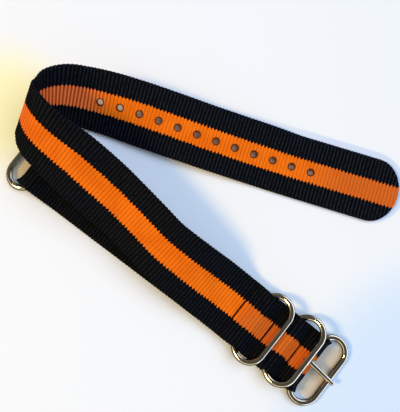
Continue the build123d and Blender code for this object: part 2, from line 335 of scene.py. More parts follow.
class Band:
    """A length of webbing: by distance along it, its middle line, the direction across it and the normal of
    its outer face. The direction across is smoothed over twice the length that the line is smoothed over."""

    def __init__(self, centre, across, smooth):
        reach = reach_along(centre)
        places = np.arange(0, reach[-1], PATH_STEP)
        centre = blurred(read_at(places, reach, centre), smooth / PATH_STEP)
        across = blurred(read_at(places, reach, across), 2 * smooth / PATH_STEP)
        travel = unit(np.gradient(centre, axis=0))
        across = unit(across - travel * (across * travel).sum(axis=1, keepdims=True))
        self.reach = reach_along(centre)
        self.length = self.reach[-1]
        self.centre = centre
        self.across = across
        self.outward = np.cross(across, travel)
        self.drapes = []
        self.seams = []

    def at(self, s, table):
        """One of the band's own tables, read at distance s."""
        return read_at(s, self.reach, table)

    def drape(self, place, pull, bar, draw, push=(0, 0, 0), lift=(0, 0, 0), stay=0.0):
        """Lays the band over a bar at a distance, with a pull that fades out along the band. bar is the
        bar's slide across, half its straight part and the radius of its rounded ends, draw is the share that
        the width loses and the slip across, and push and lift are the way that the rounded ends lead. With
        stay the ribs keep their place while the band is pushed."""
        self.drapes.append((place, pull, bar, draw, np.asarray(push) + np.asarray(lift), stay))

    def bent(self, s, t):
        """(distance, offset, shift) that the hardware gives to a point. Near a bar the band is drawn in
        and slips across, and beyond the straight part of the bar it follows the bar's rounded end. Where the
        ribs stay put, the line that they lie on is read further along by as much as it is pushed."""
        shift = np.zeros(np.broadcast(s, t).shape + (3,))
        place_s, place_t = np.broadcast_arrays(np.asarray(s, dtype=float), np.asarray(t, dtype=float))
        for place, pull, (slide, half_bar, bend), (drawn, slip), lead, stay in self.drapes:
            near = np.clip(np.abs(s - place) / pull, 0, 1)
            weight = np.cos(near * np.pi / 2) ** 2
            place_t = place_t * (1 - drawn * weight) + slip * weight
            past = np.clip(np.abs(place_t - slide) - half_bar, 0, bend * FULL_BEND_SHARE)
            rise = (bend - np.sqrt(bend ** 2 - past ** 2)) * weight
            place_s = place_s + rise * stay
            shift = shift + rise[..., None] * lead
        return place_s, place_t, shift

    def middle(self, s, t):
        """Middle surface at distance s and offset t: the centre, t across it and the hardware's shift."""
        place_s, place_t, shift = self.bent(s, t)
        return self.at(place_s, self.centre) + self.at(place_s, self.across) * place_t[..., None] + shift

    def rib(self, s):
        """Rounded rib: a half wave raised to a power, so the valleys are sharp and the crests broad."""
        return np.abs(np.sin(np.pi * s / RIB_PITCH)) ** RIB_POWER

    def lift(self, s, t, rim=0.0):
        """Distance from the middle surface to a face: the ribs, a little uneven, less a bell-shaped groove
        at each seam, all rounded off at the selvedge. At a melted rim the ribs level out."""
        uneven = 1 - UNEVEN_SHARE + UNEVEN_SHARE * np.sin(UNEVEN_ALONG * s + UNEVEN_ACROSS * t)
        ribbed = RIB_HEIGHT * self.rib(s) * uneven
        melted = RIB_HEIGHT * MELTED_RISE_SHARE
        height = HALF_THICKNESS - RIB_HEIGHT + ribbed * (1 - rim) + melted * rim
        for place in self.seams:
            height = height - GROOVE_DEPTH * np.exp(-((s - place) / GROOVE_SPREAD) ** 2)
        return height * edge_rounding(t)

    def surface(self, s, t, side, rim=0.0):
        """Point on the outer face (side 1) or inner face (side -1): the middle surface plus the lift along
        the normal, with the selvedge bulging at each rib."""
        s, t, side, rim = np.broadcast_arrays(s, t, side, rim)
        near_edge = np.clip((np.abs(t) - LOOPS_FROM) / (HALF - LOOPS_FROM), 0, 1)
        loops = LOOP_BULGE * (self.rib(s) - 0.5) * near_edge * np.sign(t)
        outward = self.at(self.bent(s, t)[0], self.outward)
        return self.middle(s, t + loops) + outward * (side * self.lift(s, t, rim))[..., None]


def edge_rounding(t):
    """Share of the thickness that is left at offset t: a quarter circle's profile at each selvedge."""
    past = np.clip((np.abs(t) - (HALF - EDGE_ROUND)) / EDGE_ROUND, 0, 1)
    return np.sqrt(1 - past ** 2)


# Lines of the webbing's grid from one selvedge to the middle, as shares of the half width, then all of them
COLUMN_SHARES = np.array((-1.0, -0.995, -0.984, -0.968, -0.95, -0.89, -0.80, -0.70, -0.60, -0.50, -0.42,
                          -0.336, -0.28, -0.218, -0.164, -0.109, -0.055, 0.0))
COLUMNS = np.concatenate([COLUMN_SHARES, -COLUMN_SHARES[-2::-1]]) * HALF

# Loops of an opening: the share of the way from the grid to the rim, the waist of the wall and its level
# between the faces
RIM_SHARES = (0.3, 0.55, 0.75, 0.9, 1.0)
WALL_LEVELS = (0.85, 0.4, -0.4, -0.85)
WALL_WAIST_SHARE = 0.92
MELT_FROM_SHARE = 0.6
OPENING_LOOPS = ([(share, 1.0, 1.0) for share in RIM_SHARES]
                 + [(1.0, WALL_WAIST_SHARE, level) for level in WALL_LEVELS]
                 + [(share, 1.0, -1.0) for share in reversed(RIM_SHARES)])
FULL_WIDTH_SHARE = 0.999


def cut_window(band, rows, window, keep):
    """(ring rows, ring columns, loops of points, their weave) of one opening, whose squares leave keep.

    The window is (centre, half straight, radius, offset, half window, (first column, last column)). The ring
    of grid points round it runs in loops to a slot of that half straight and radius, down the slot's wall
    and out again to the same ring on the other face."""
    centre, straight, radius, offset, half_s, column_pair = window
    i0, i1 = np.searchsorted(rows, (centre - half_s, centre + half_s))
    j0, j1 = (int(np.argmin(np.abs(COLUMNS - column))) for column in column_pair)
    keep[i0:i1, j0:j1] = False
    ring = ([(i0, j) for j in range(j0, j1)] + [(i, j1) for i in range(i0, i1)]
            + [(i1, j) for j in range(j1, j0, -1)] + [(i, j0) for i in range(i1, i0, -1)])
    ring_i, ring_j = np.array(ring).T
    s_ring, t_ring = rows[ring_i], COLUMNS[ring_j]
    core = centre + np.clip(s_ring - centre, -straight, straight)
    away = unit(np.stack([s_ring - core, t_ring - offset], axis=1)) * radius
    s_rim, t_rim = core + away[:, 0], offset + away[:, 1]
    points, weave = [], []
    for share, tight, level in OPENING_LOOPS:
        s_loop = core + (s_ring + (s_rim - s_ring) * share - core) * tight
        t_loop = offset + (t_ring + (t_rim - t_ring) * share - offset) * tight
        melted = np.clip((share - MELT_FROM_SHARE) / (1 - MELT_FROM_SHARE), 0, 1)
        middle = band.middle(s_loop, t_loop)
        points.append(middle + (band.surface(s_loop, t_loop, 1.0, melted) - middle) * level)
        weave.append(np.stack([s_loop, t_loop, np.full_like(s_loop, level)], axis=1))
    return ring_i, ring_j, points, weave


def build_band(band, name, rows, windows, taper, replaced, material):
    """Mesh of a band: a grid of rows by COLUMNS on both faces, shared at the selvedges, with openings cut
    in it. taper(s) is the share of the half width that the band has at s. Where that is less than all of it,
    the edge keeps the rounding that the full width has."""
    count, wide = len(rows), len(COLUMNS)
    s_grid, t_grid = np.meshgrid(rows, COLUMNS, indexing="ij")
    edge_t = t_grid * taper(s_grid)
    round_off = np.where(taper(s_grid) < FULL_WIDTH_SHARE, edge_rounding(t_grid), 1.0)[..., None]
    middle = band.middle(s_grid, edge_t)
    points, weave = [], []
    for side in (1.0, -1.0):
        face = middle + (band.surface(s_grid, edge_t, side) - middle) * round_off
        points.append(face.reshape(-1, 3))
        weave.append(np.stack([s_grid, edge_t, np.full_like(s_grid, side)], axis=-1).reshape(-1, 3))
    index = np.arange(count * wide).reshape(count, wide)
    below = index + count * wide
    below[:, 0] = index[:, 0]
    below[:, -1] = index[:, -1]
    keep = np.ones((count - 1, wide - 1), dtype=bool)
    faces = []
    made = 2 * count * wide
    for window in windows:
        ring_i, ring_j, loop_points, loop_weave = cut_window(band, rows, window, keep)
        loops = [index[ring_i, ring_j]]
        for loop in loop_points:
            loops.append(np.arange(made, made + len(loop)))
            made += len(loop)
        loops.append(below[ring_i, ring_j])
        points += loop_points
        weave += loop_weave
        for first, second in zip(loops[:-1], loops[1:]):
            faces.append(np.stack([first, np.roll(first, -1), np.roll(second, -1), second], axis=1))
    i, j = np.nonzero(keep)
    faces.append(np.stack([index[i, j], index[i, j + 1], index[i + 1, j + 1], index[i + 1, j]], axis=1))
    faces.append(np.stack([below[i + 1, j], below[i + 1, j + 1], below[i, j + 1], below[i, j]], axis=1))
    for row, turn in ((0, 1), (count - 1, -1)):
        top, under = index[row], below[row]
        cap = np.stack([top[:-1], under[:-1], under[1:], top[1:]], axis=1)[:, ::turn]
        faces.append(cap[1:-1])
        for quad in (cap[0], cap[-1]):
            faces.append(np.array([list(dict.fromkeys(quad.tolist()))]))
    points = np.concatenate(points)
    weave = np.concatenate(weave)
    used = np.zeros(len(points), dtype=bool)
    for block in faces:
        used[block] = True
    renumber = np.cumsum(used) - 1
    flat = [face for block in faces for face in renumber[block].tolist()]
    webbing_piece = make_object(name, points[used], flat, "webbing", material, weave[used])
    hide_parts(replaced)
    return webbing_piece


# Main strap: the folded end, the turn round the buckle bar, the pockets, the arch and the tail
top_corners = [(BAR_X[2], OVER_BAR_Z), (BAR_X[2] - HUMP_BEHIND, OVER_BAR_Z)]
for seam, bar in ((SEAM_X[2], BAR_X[1]), (SEAM_X[1], BAR_X[0])):
    top_corners += [(seam + SEAM_FLAT, SEAM_Z), (seam - SEAM_FLAT, SEAM_Z),
                    (bar + HUMP_AHEAD, OVER_BAR_Z), (bar - HUMP_BEHIND, OVER_BAR_Z)]
top_corners += [(SEAM_X[0] + SEAM_FLAT, FIRST_SEAM_Z), (SEAM_X[0], FIRST_SEAM_Z)]
pocket = np.concatenate([
    along_corners(((SEAM_X[0] - END_PAST_SEAM, SEAM_Z), (SEAM_X[0] + END_LEVEL, SEAM_Z),
                   (BAR_X[0] - WIRE_R, HALF_THICKNESS), (BAR_X[2], HALF_THICKNESS))),
    half_turn((BAR_X[2], BAR_Z), FOLD_REACH, -np.pi / 2, np.pi / 2),
    along_corners(top_corners),
])
pocket = np.stack([pocket[:, 0], np.zeros(len(pocket)), pocket[:, 1]], axis=1)
arch = through(ROUTE_SHARES)
tail_along = np.array((np.cos(TAIL_ANGLE), np.sin(TAIL_ANGLE), 0))
tail_points = FLAT_START + tail_along * np.linspace(0, TAIL_FLAT, TAIL_POINTS)[:, None]
arch_points = np.concatenate([arch[:, :3] * WIDTH, tail_points])
arch_roll = np.concatenate([np.radians(arch[:, 3]), np.full(TAIL_POINTS, np.pi)])
arch_travel = unit(np.gradient(arch_points, axis=0))
level = np.hypot(arch_travel[:, 0], arch_travel[:, 1])
side = np.stack([arch_travel[:, 1] / level, -arch_travel[:, 0] / level, 0 * level], axis=1)
rise = np.cross(side, arch_travel)
arch_across = side * np.cos(arch_roll)[:, None] + rise * np.sin(arch_roll)[:, None]
line = np.concatenate([pocket, arch_points])
across = np.concatenate([np.tile((0.0, 1.0, 0.0), (len(pocket), 1)), arch_across])
main = Band(line, across, SMOOTH)

fold_place = main.reach[np.argmax(main.centre[:, 0])]
top_half = main.reach > fold_place
top_steps = int(TOP_RUN / PATH_STEP)


def top_place(x):
    """Distance along the main strap where its top layer passes x."""
    return np.interp(-x, -main.centre[top_half][:top_steps, 0], main.reach[top_half][:top_steps])


def under_place(x):
    """Distance along the main strap where its folded end passes x."""
    return float(np.interp(x, main.centre[~top_half][:, 0], main.reach[~top_half]))


# A pull without a bar has one whose straight part is wider than the band
no_bar = (0.0, 2 * WIDTH, 1.0)
half_bar = (RING_LENGTH - RING_WIDTH) / 2
ring_bend = (RING_WIDTH - WIRE) / 2
buckle_bar = (BUCKLE_LENGTH - BUCKLE_WIDTH) / 2
buckle_bend = (BUCKLE_WIDTH - WIRE) / 2
for x, pull, draw in POCKET_PULLS:
    main.drape(top_place(x), pull, no_bar, draw)
for x, tilt, slide, draw in zip(BAR_X[:2], KEEPER_TILT, SLIDE, KEEPER_DRAWS):
    steep = np.radians(tilt)
    main.drape(top_place(x + KEEPER_AHEAD), KEEPER_PULL, (slide, half_bar, ring_bend), draw,
               push=(np.cos(steep), 0, 0), lift=(0, 0, np.sin(steep) + KEEPER_LIFT_SHARE),
               stay=np.cos(steep))
buckle_droop = np.radians(BUCKLE_DROOP)
main.drape(fold_place, BUCKLE_PULL, (SLIDE[2], buckle_bar, buckle_bend), BUCKLE_DRAW,
           push=(np.cos(buckle_droop), 0, 0), lift=(0, 0, np.sin(buckle_droop)))
main.seams = [top_place(x) for x in SEAM_X] + [under_place(x) for x in SEAM_X]

tip = main.length
tip_start = tip - TIP_DEPTH
hole_places = [tip - TIP_TO_HOLE - k * HOLE_PITCH for k in range(HOLE_COUNT)]


def tail_taper(s):
    """Share of the half width: an ellipse's profile over the last stretch of the tail."""
    past = np.clip((s - tip_start) / TIP_DEPTH, 0, 1)
    return np.maximum(np.sqrt(1 - past ** 2), TIP_LEAST_SHARE)


def wander(s):
    """How far the stripe and the holes lie off the middle: a smooth step along the tail, where the strap is
    a little out of true."""
    share = np.clip((s - (tip - WANDER_START)) / (WANDER_START - WANDER_END), 0, 1)
    return float(WANDER * share * share * (3 - 2 * share))


row_step = RIB_PITCH / RIB_STEPS
main_rows = np.concatenate([
    np.arange(0, tip_start, row_step),
    tip_start + TIP_DEPTH * np.sin(np.linspace(0, np.pi / 2, TIP_ROWS + 1)[:-1]),
    [tip],
])

# Short strap: from under the first seam to the turn round the end ring's bar and back over itself
along = np.array((np.cos(END_SKEW), np.sin(END_SKEW), 0))
short_side = np.array((-along[1], along[0], 0))
loop_end = -END_REACH - LOOP_SLACK
short_line = np.concatenate([
    along_corners(((END_PAST_SEAM, HALF_THICKNESS), (-END_SEAM + LOOP_FALL, HALF_THICKNESS),
                   (-END_SEAM + SEAM_FLAT, SEAM_Z), (-END_SEAM - SEAM_FLAT, SEAM_Z),
                   (-END_REACH + HUMP_BEHIND, OVER_BAR_Z), (loop_end, OVER_BAR_Z))),
    half_turn((loop_end, BAR_Z), FOLD_REACH, np.pi / 2, 3 * np.pi / 2),
    along_corners(((loop_end, HALF_THICKNESS), (-END_SEAM + END_PAST_SEAM, HALF_THICKNESS))),
])
start = np.array((SEAM_X[0], 0, 0))
short_points = start + along * short_line[:, :1] + np.array((0, 0, 1)) * short_line[:, 1:]
short = Band(short_points, np.tile(short_side, (len(short_points), 1)), SHORT_SMOOTH)
end_bar = start - along * END_REACH
end_bar[2] = BAR_Z
from_start = ((short.centre - start) * along).sum(axis=1)
end_fold = short.reach[np.argmin(from_start)]
end_droop = np.radians(END_DROOP)
short.drape(end_fold, END_PULL, (0.0, half_bar, ring_bend), END_DRAW,
            push=-along * np.cos(end_droop), lift=(0, 0, np.sin(end_droop)))
outgoing = short.reach < end_fold
short.seams = [float(np.interp(0, -from_start[outgoing], short.reach[outgoing])),
               float(np.interp(END_SEAM, -from_start[outgoing], short.reach[outgoing])),
               float(np.interp(-END_SEAM, from_start[~outgoing], short.reach[~outgoing]))]

# Colours of the webbing. The orange's second tone lies in the brighter patches of a cloudy noise. The
# black's second tone is a painted sheen on the crests. The raked orange is painted light and shade, its
# second tone on the crests. The valley black is painted shade, the shaded orange is painted shade, and the
# seam's black is thread and painted groove shade
ORANGE = ((0.82, 0.145, 0.004, 1), (0.91, 0.178, 0.006, 1))
SHADED_ORANGE = (0.48, 0.100, 0.022, 1)
PAINTED_RAKE_ORANGE = ((0.62, 0.060, 0.008, 1), (1.0, 0.260, 0.082, 1))
BLACK_AND_SHEEN = ((0.0012, 0.0016, 0.0026, 1), (0.0110, 0.0165, 0.0280, 1))
VALLEY_SHADE_BLACK = (0.0, 0.0, 0.0, 1)
THREAD_AND_SHADE_BLACK = (0.003, 0.002, 0.002, 1)
BURNT_RIM = (0.020, 0.011, 0.008, 1)
MELTED_TIP = (0.008, 0.006, 0.006, 1)
VALLEY_SHADE_SHARE = 0.62
THREAD_AND_SHADE_SHARE = 0.93
BURNT_SHARE = 0.88
MELTED_SHARE = 0.5
PAINTED_RAKE_SHARE = 0.8
SHINE = 0.05

# Noises in the webbing, each by its scale and its detail, and how they shade it
WOBBLE = (0.9, 1.0)
FIBRE = (7.0, 3.0)
FIBRE_SHARE = 0.94
FIBRE_STRAY = 0.12
CLOUDS = (0.16, 2.0)
CLOUD_SHARES = (0.3, 0.7)

# The stripe's border stands back in each valley and forward on each crest, and strays a little
BORDER_BACK = 0.36
BORDER_STEP = 0.76
BORDER_STRAY = 0.70
BORDER_SOFT = (-0.05, 0.07)

# How far up a rib each tone starts and is whole, as shares of the way from its valley to its crest: the
# painted shade in the valleys, the painted raked light on the orange and the painted sheen on the black
# crests. The sheen is scattered by the wobble
VALLEY_SHADE_SHARES = (0.0, 0.42)
PAINTED_RAKE_SHARES = (0.30, 0.85)
SHEEN_CREST_SHARES = (0.35, 1.0)
SHEEN_SHARE = 0.80
SHEEN_STRAY = 2.4

# Yarns along the webbing and the fine relief that they and the fibres give
YARN_PITCH = 0.42
YARN_STRAY = 3.0
YARN_RELIEF_SHARE = 0.35
FIBRE_RELIEF_SHARE = 0.5
RELIEF = 0.03
RELIEF_STRENGTH = 0.6
MATT = 0.62
MATT_STRAY = 0.2

# Where the tones of the webbing change, as distances back from the tip. The orange has painted shade in the
# pockets and near the tip, duller by a share and by more in cloudy patches. The turn has painted raked
# light.
# Before the turn the black crests have only a share of their painted sheen
SHADED_TAIL = (40.0, 15.0)
SHADED_POCKETS = 3.0
SHADED_SHARE = 0.30
SHADED_STRAY = 0.5
TURN_IN = (141.0, 133.0)
TURN_OUT = (112.0, 101.0)
ARCH_SHADE = (150.0, 133.0)
ARCH_SHARE = 0.62

# Dark line of a seam, black thread and painted groove shade, and the melted rims of the holes and the tip.
# Past the last hole of the row the rims stop between two shares of a pitch
SEAM_LINE = (0.22, 0.44)
SEAM_STRAY = 0.3
RIM_BURN = (0.16, 0.50)
ROW_END_SHARES = (0.4, 0.45)
TIP_MELT_SHARES = (0.965, 1.0)
TIP_MELT_START = 0.5


def webbing_material(name, first_hole, seams, stripe_half):
    """Ribbed nylon: black with an orange stripe, shaded by the weave's own distances in mm.

    The stripe's border moves with each rib, each seam sinks in a dark line of thread and painted groove
    shade, each hole has a melted rim, and the tail's cut edge is melted. The rib valleys have painted shade
    and the black crests a painted sheen. The orange has painted shade in the pockets and at the tip, and
    painted raked light on its ribs at the turn."""
    material, start, shader = new_material(name)
    weave = start.make("ShaderNodeAttribute", output=1, attribute_name="weave")
    s, raw_t = weave.apart()[:2]
    t = raw_t - s.ramp(tip - WANDER_START, tip - WANDER_END, 0.0, WANDER)
    stray = weave.noise(*WOBBLE) - 0.5
    fibre = weave.noise(*FIBRE)
    cloudy = weave.noise(*CLOUDS)

    # Ribs, stripe and yarns
    phase = (s / RIB_PITCH).math("FRACT")
    crest = 1.0 - abs((phase - 0.5) * 2.0)
    border = abs(t) - (stripe_half - BORDER_BACK + crest * BORDER_STEP + stray * BORDER_STRAY)
    stripe = border.fade(*BORDER_SOFT)
    valley = crest.ramp(*VALLEY_SHADE_SHARES, VALLEY_SHADE_SHARE, 1.0)
    yarn = (t * (2 * np.pi / YARN_PITCH) + stray * YARN_STRAY).math("SINE")

    # Orange and black, with painted shade, painted raked light and painted sheen
    orange = cloudy.ramp(*CLOUD_SHARES).mix(*ORANGE)
    # Painted shade on the orange in the pockets and near the tip
    in_pockets = s.fade(seams[0] - SHADED_POCKETS, seams[0])
    orange_shade = in_pockets.math("MAXIMUM", s.ramp(tip - SHADED_TAIL[0], tip - SHADED_TAIL[1]))
    orange = (orange_shade * (SHADED_SHARE + cloudy * SHADED_STRAY)).mix(orange, SHADED_ORANGE)
    # Painted raked light at the turn: lighter crests and darker valleys
    turned = s.ramp(tip - TURN_IN[0], tip - TURN_IN[1]) * s.fade(tip - TURN_OUT[0], tip - TURN_OUT[1])
    painted_rake = crest.ramp(*PAINTED_RAKE_SHARES).mix(*PAINTED_RAKE_ORANGE)
    orange = (turned * PAINTED_RAKE_SHARE).mix(orange, painted_rake)
    arch_shade = s.ramp(tip - ARCH_SHADE[0], tip - ARCH_SHADE[1], ARCH_SHARE, 1.0)
    # Painted sheen on the black crests, scattered by the wobble and weaker before the turn
    crest_sheen = crest.ramp(*SHEEN_CREST_SHARES) * (SHEEN_SHARE + stray * SHEEN_STRAY) * arch_shade
    cloth = stripe.mix(crest_sheen.mix(*BLACK_AND_SHEEN), orange)
    # Painted shade in the rib valleys, varied by the fibres
    cloth = (valley * (FIBRE_SHARE + fibre * FIBRE_STRAY)).mix(VALLEY_SHADE_BLACK, cloth)

    # Seams: a dark line of black thread and painted groove shade
    seam_thread_and_shade = abs(s - seams[0] + stray * SEAM_STRAY).fade(*SEAM_LINE)
    for place in seams[1:]:
        seam_thread_and_shade = seam_thread_and_shade.math("MAXIMUM", abs(s - place + stray * SEAM_STRAY).fade(*SEAM_LINE))
    cloth = (seam_thread_and_shade * THREAD_AND_SHADE_SHARE).mix(cloth, THREAD_AND_SHADE_BLACK)

    # Melted rims
    nearest = ((s - (first_hole - HOLE_PITCH / 2)) / HOLE_PITCH).math("FRACT") - 0.5
    from_hole = ((nearest * HOLE_PITCH) ** 2.0 + t ** 2.0) ** 0.5
    half_row = HOLE_PITCH * (HOLE_COUNT - 1) / 2
    from_row_middle = abs(s - (first_hole - half_row))
    in_row = from_row_middle.fade(*(half_row + HOLE_PITCH * share for share in ROW_END_SHARES))
    burnt = from_hole.fade(HOLE_R + RIM_BURN[0], HOLE_R + RIM_BURN[1]) * in_row
    ellipse = ((s - tip_start).math("MAXIMUM", 0.0) / TIP_DEPTH) ** 2.0 + (raw_t / HALF) ** 2.0
    melted = ellipse.ramp(*TIP_MELT_SHARES) * s.ramp(tip_start - TIP_MELT_START, tip_start + TIP_MELT_START)
    cloth = (burnt * BURNT_SHARE).mix(cloth, BURNT_RIM)
    cloth = (melted * MELTED_SHARE).mix(cloth, MELTED_TIP)

    roughness = MATT + (fibre - 0.5 - burnt - melted) * MATT_STRAY
    relief = (yarn * YARN_RELIEF_SHARE + fibre * FIBRE_RELIEF_SHARE).bump(RELIEF * MM, RELIEF_STRENGTH)
    plug(shader, Base_Color=cloth, Specular_IOR_Level=SHINE, Roughness=roughness, Normal=relief)
    return material


# Openings: the grid is open over a window's half length to each side of a hole, between a pair of its
# columns. The slot in the fold lets the tongue through. The short strap's first hole is set far beyond its
# end, so it has none
HOLE_WINDOW = 1.95
HOLE_COLUMNS = (-2.4, 1.8)
SLOT_STRAIGHT = 3.3
SLOT_R = 1.15
SLOT_Y = 0.95
SLOT_WINDOW = 5.4
SLOT_COLUMNS = (-1.2, 3.08)
NO_HOLE = -1000.0

webbing = webbing_material("ribbed_webbing", hole_places[0], main.seams, STRIPE_HALF)
windows = [(place, 0.0, HOLE_R, wander(place), HOLE_WINDOW, HOLE_COLUMNS) for place in hole_places]
windows.append((fold_place, SLOT_STRAIGHT, SLOT_R, SLOT_Y, SLOT_WINDOW, SLOT_COLUMNS))
main_strap = build_band(main, "main_strap_webbing", main_rows, windows, tail_taper, "main_strap", webbing)
short_webbing = webbing_material("ribbed_webbing_short", NO_HOLE, short.seams, SHORT_STRIPE_HALF)
short_rows = np.arange(0, short.length, row_step)
short_strap = build_band(short, "short_strap_webbing", short_rows, [], np.ones_like, "short_strap",
                         short_webbing)

# Wire ovals, and the steel with its noises by scale and detail
WIRE_SIDES = 32
BEND_POINTS = 43
BAR_POINTS = 11
STEEL_TINT = (0.76, 0.73, 0.67)
STEEL_BRUSHED = 0.03
TONGUE_TINT = (0.74, 0.73, 0.72)
TONGUE_BRUSHED = 0.06
TARNISH_SHARE = 0.84
TARNISH_SHARES = (0.35, 0.75)
DENTS = (260.0, 2.0)
DRAWN_LINES = (2600.0, 4.0, 0.6)
POLISH = 0.045
DENT_ROUGHNESS = 0.04
DENT_DEPTH = 0.02
DENT_STRENGTH = 0.35
DENT_SHARE = 0.6


def wrapped(count, sides, closed):
    """Faces round a tube whose points are given circle after circle. The last circle of a closed one joins
    its first."""
    index = np.arange(count * sides).reshape(count, sides)
    following = np.roll(index, -1, axis=0) if closed else index[1:]
    here = index if closed else index[:-1]
    quads = np.stack([here, np.roll(here, -1, axis=1), np.roll(following, -1, axis=1), following], axis=-1)
    return quads.reshape(-1, 4)


def tube(path, radius, sides, closed, twist_hint=(0, 0, 1)):
    """Points and faces of a round tube: a circle carried along a path, with radius one value or one for
    each point. An open tube is closed by a flat face at each end of the path."""
    count = len(path)
    if closed:
        travel = unit(np.roll(path, -1, axis=0) - np.roll(path, 1, axis=0))
    else:
        travel = unit(np.gradient(path, axis=0))
    hint = np.asarray(twist_hint, dtype=float)
    first = unit(np.cross(np.broadcast_to(hint, travel.shape), travel))
    second = np.cross(travel, first)
    radius = np.broadcast_to(np.asarray(radius, dtype=float), (count,))[:, None, None]
    angles = (np.arange(sides) * 2 * np.pi / sides)[None, :, None]
    circle = first[:, None] * np.cos(angles) + second[:, None] * np.sin(angles)
    points = (path[:, None] + circle * radius).reshape(-1, 3)
    faces = wrapped(count, sides, closed).tolist()
    if not closed:
        faces.append(list(range(sides))[::-1])
        faces.append(list(range(len(points) - sides, len(points))))
    return points, faces


def oval(length, width):
    """Centre line of a wire oval in its own plane, from the middle of its bar: x away from it, y along it.
    Two straight bars are joined by half circles."""
    straight = (length - width) / 2
    bend = (width - WIRE) / 2
    bar = np.linspace(-straight, straight, BAR_POINTS + 1)[:-1]
    turn = np.linspace(0, np.pi, BEND_POINTS + 1)[:-1]
    near = np.stack([0 * bar, bar], axis=1)
    round_top = np.stack([bend - bend * np.cos(turn), straight + bend * np.sin(turn)], axis=1)
    far = np.stack([0 * bar + 2 * bend, -bar], axis=1)
    round_low = np.stack([bend + bend * np.cos(turn), -straight - bend * np.sin(turn)], axis=1)
    return np.concatenate([near, round_top, far, round_low])


def steel_material(name, tint, brushed):
    """Polished wire: near-mirror steel with faint drawing lines, small dents and a little tarnish."""
    material, start, shader = new_material(name)
    place = start.make("ShaderNodeTexCoord", output=3)
    coarse = place.noise(*DENTS)
    fine = place.noise(*DRAWN_LINES)
    worn = coarse.ramp(*TARNISH_SHARES)
    tarnished = tuple(TARNISH_SHARE * channel for channel in tint)
    plug(shader, Metallic=1.0, Base_Color=worn.mix((*tint, 1), (*tarnished, 1)),
         Roughness=POLISH + coarse * DENT_ROUGHNESS + fine * brushed,
         Normal=(coarse * DENT_SHARE + fine * (1 - DENT_SHARE)).bump(DENT_DEPTH * MM, DENT_STRENGTH))
    return material


steel = steel_material("polished_steel", STEEL_TINT, STEEL_BRUSHED)
tongue_steel = steel_material("tongue_steel", TONGUE_TINT, TONGUE_BRUSHED)


def ring(name, node, body, bar, out, tilt, length, width):
    """Wire oval whose bar's middle is at bar, turned up by tilt degrees from the direction out."""
    steep = np.radians(tilt)
    out = np.asarray(out, dtype=float)
    reach = out * np.cos(steep) + np.array((0, 0, np.sin(steep)))
    normal = np.array((0, 0, np.cos(steep))) - out * np.sin(steep)
    beside = np.cross(normal, reach)
    line = oval(length, width)
    path = np.asarray(bar) + line[:, :1] * reach + line[:, 1:] * beside
    points, faces = tube(path, WIRE_R, WIRE_SIDES, True, normal)
    made = make_object(name, points, faces, body, steel)
    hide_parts(node)


bars = [(x, slide, BAR_Z) for x, slide in zip(BAR_X, SLIDE)]
ahead = (1, 0, 0)
ring("keeper_one_wire", "keeper_one", "first_keeper", bars[0], ahead, KEEPER_TILT[0],
     RING_LENGTH, RING_WIDTH)
ring("keeper_two_wire", "keeper_two", "second_keeper", bars[1], ahead, KEEPER_TILT[1],
     RING_LENGTH, RING_WIDTH)
ring("buckle_frame_wire", "buckle_frame", "buckle", bars[2], ahead, BUCKLE_DROOP,
     BUCKLE_LENGTH, BUCKLE_WIDTH)
ring("end_ring_wire", "end_ring", "ring", end_bar, -along, END_DROOP, RING_LENGTH, RING_WIDTH)

# Tongue: a strip rolled round the buckle's bar, drawn out into a tapered pin that rests on the far bar
TONGUE_Y = 0.95
TONGUE_BORE = 1.05
TONGUE_WALL = 0.5
TONGUE_SKEW = 0.45
EYE_HALF = 1.0
EYE_PLAY = 0.01
EYE_STEPS = 64
EYE_SIDES = 24
EYE_CORNER_POWER = 0.45
PIN_ROOT_R = 0.98
PIN_TIP_R = 0.75
PIN_SIDES = 28
PIN_RISE = 0.16
PIN_RISE_SHARE = 0.85
PIN_TAPER_SHARE = 0.9
PIN_ABOVE_BAR = 0.08
PIN_PAST_BAR = 1.8
PIN_POINTS = 40
PIN_TIP_POINTS = 14
PIN_TIP_TURN = 0.1
PIN_LEAST_SHARE = 0.0004


